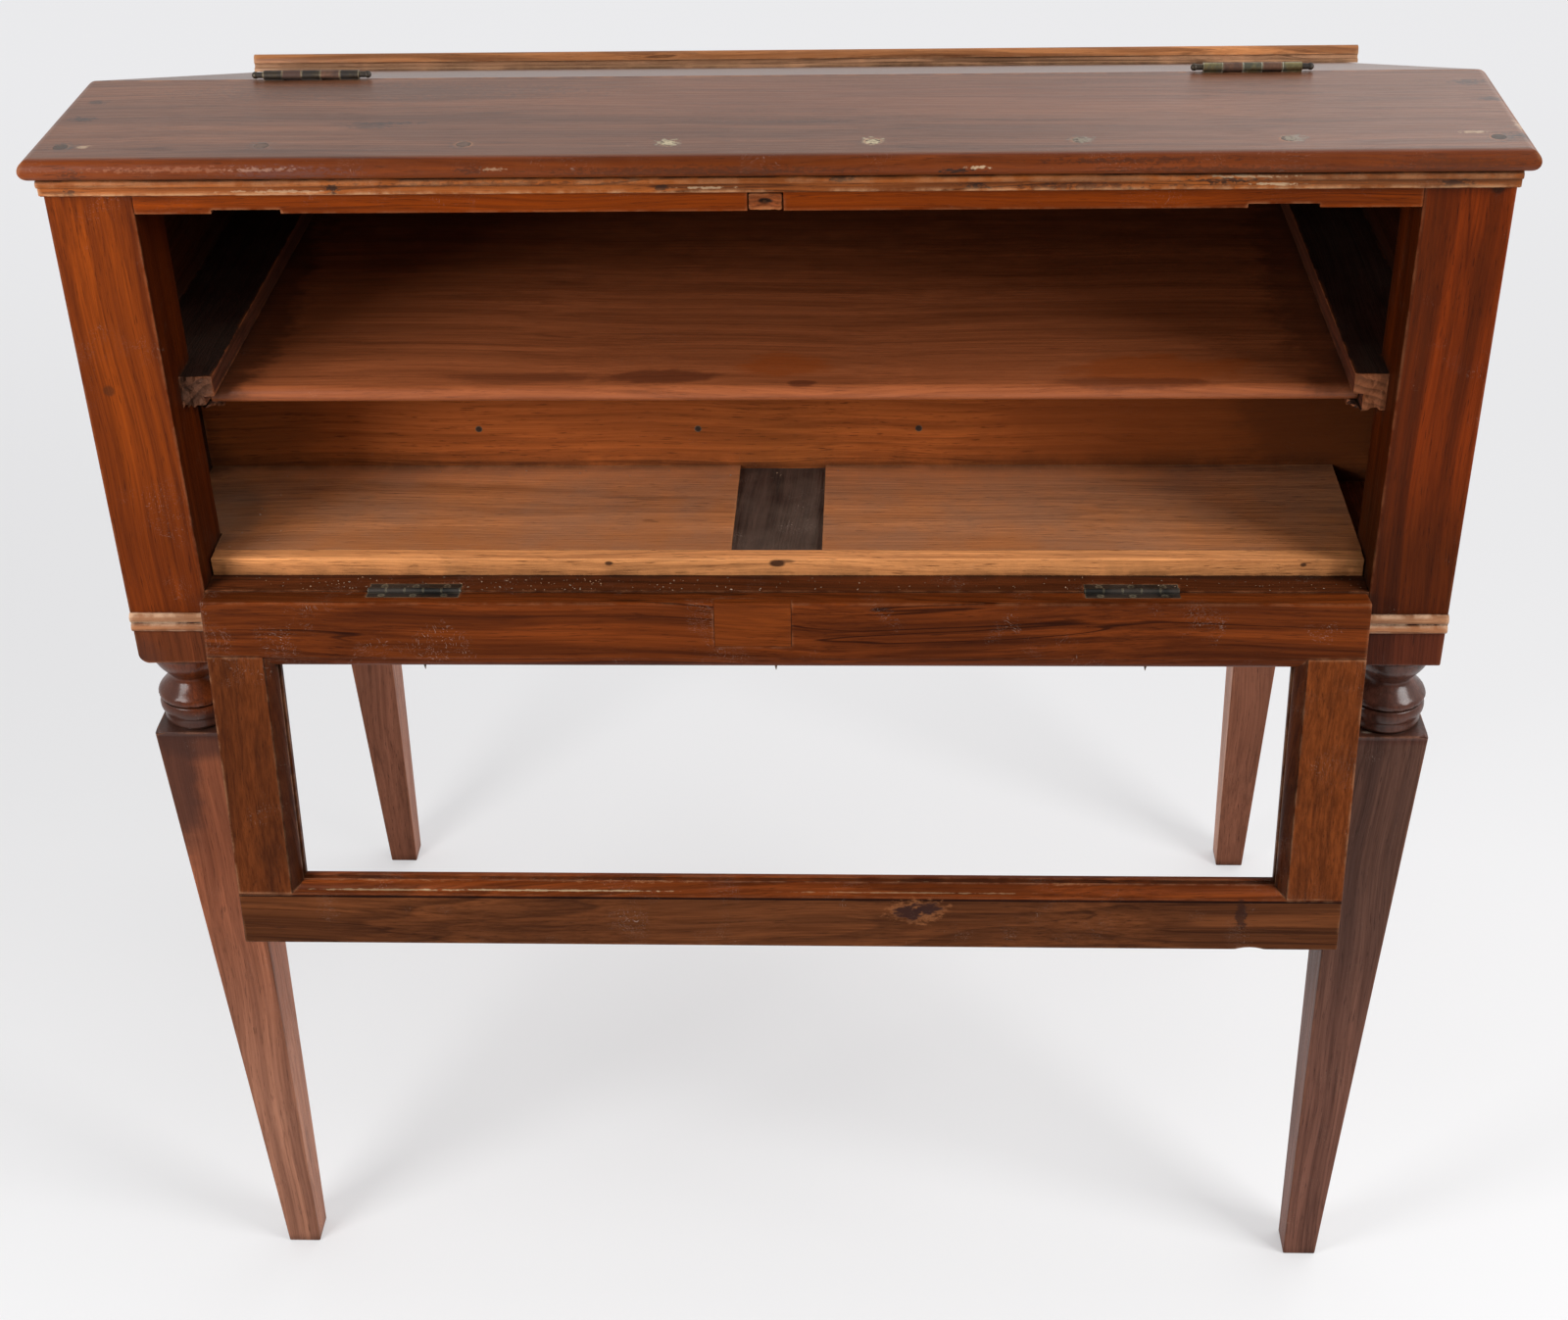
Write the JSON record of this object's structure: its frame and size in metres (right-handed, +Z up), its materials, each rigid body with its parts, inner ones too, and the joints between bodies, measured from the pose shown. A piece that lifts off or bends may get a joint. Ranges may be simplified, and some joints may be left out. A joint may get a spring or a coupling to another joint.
{
  "type": "writing desk",
  "caption": "Standing writing desk on tapered legs with turned necks, a hinged sloping lid with a lip, a shelf in runners and a drop flap on the far side.",
  "frame": {"origin": "on the floor, under the middle of the desk's box with the flap hanging open and the lid closed", "axes": "+X to the right seen from the flap side, +Y from the flap side to the sitter's side, +Z up"},
  "size_m": [1.104, 0.7348, 1.145],
  "materials": {
    "polished_wood": "worn polish",
    "top_wood": "satin polish, dusty",
    "shelf_wood": "satin polish",
    "runner_wood": "unpolished, dusty",
    "raw_wood": "bare planed wood",
    "rough_wood": "rough sawn",
    "worn_wood": "worn through to bare wood",
    "iron": "blackened",
    "brass": "tarnished"
  },
  "bodies": {
    "carcase": {"front_leg_left": "polished_wood", "front_leg_right": "polished_wood", "rear_leg_left": "polished_wood", "rear_leg_right": "polished_wood", "side_panel_left": "polished_wood", "side_panel_right": "polished_wood", "rear_rail": "polished_wood", "top_front_rail": "polished_wood", "keep_patch": "worn_wood", "bottom_front_rail": "polished_wood", "astragal": "worn_wood", "cornice_strip": "worn_wood", "top_board": "top_wood", "top_nails": "iron", "nail_plugs": "worn_wood", "floor_strip": "raw_wood", "floor_board_left": "raw_wood", "floor_board_right": "raw_wood", "centre_bearer": "rough_wood", "side_bearer_left": "raw_wood", "side_bearer_right": "raw_wood", "partition": "raw_wood", "partition_rail": "raw_wood", "partition_nails": "iron", "runner_left": "runner_wood", "runner_right": "runner_wood", "lid_hinge_left_fixed_leaf": "brass", "lid_hinge_left_pin": "iron", "lid_hinge_right_fixed_leaf": "brass", "lid_hinge_right_pin": "iron", "lid_hinge_screws_fixed": "iron", "flap_hinge_left_rail_leaf": "iron", "flap_hinge_left_pin": "iron", "flap_hinge_right_rail_leaf": "iron", "flap_hinge_right_pin": "iron", "flap_hinge_screws_rail": "iron"},
    "flap": {"flap_upper_rail": "polished_wood", "flap_lower_rail": "polished_wood", "flap_stile_left": "polished_wood", "flap_stile_right": "polished_wood", "flap_patch": "polished_wood", "flap_hinge_left_flap_leaf": "iron", "flap_hinge_right_flap_leaf": "iron", "flap_hinge_screws_flap": "iron"},
    "lid": {"lid_upper_board": "top_wood", "lid_lower_board": "top_wood", "lid_lip": "worn_wood", "lid_hinge_left_lid_leaf": "brass", "lid_hinge_right_lid_leaf": "brass", "lid_hinge_screws_lid": "iron"},
    "shelf": {"shelf": "shelf_wood"}
  },
  "joints": [
    {"name": "flap_hinge", "type": "hinge", "parent": "carcase", "child": "flap", "pos_m": [0, -0.30027, 0.7635], "axis": [-1, 0, 0], "range_deg": [0, 172.22]},
    {"name": "lid_hinge", "type": "hinge", "parent": "carcase", "child": "lid", "pos_m": [0, -0.13937, 1.1416], "axis": [1, 0, 0], "range_deg": [0, 118]},
    {"name": "shelf_slide", "type": "slide", "parent": "carcase", "child": "shelf", "axis": [0, 1, 0], "range_m": [-0.019, 0.024]}
  ]
}
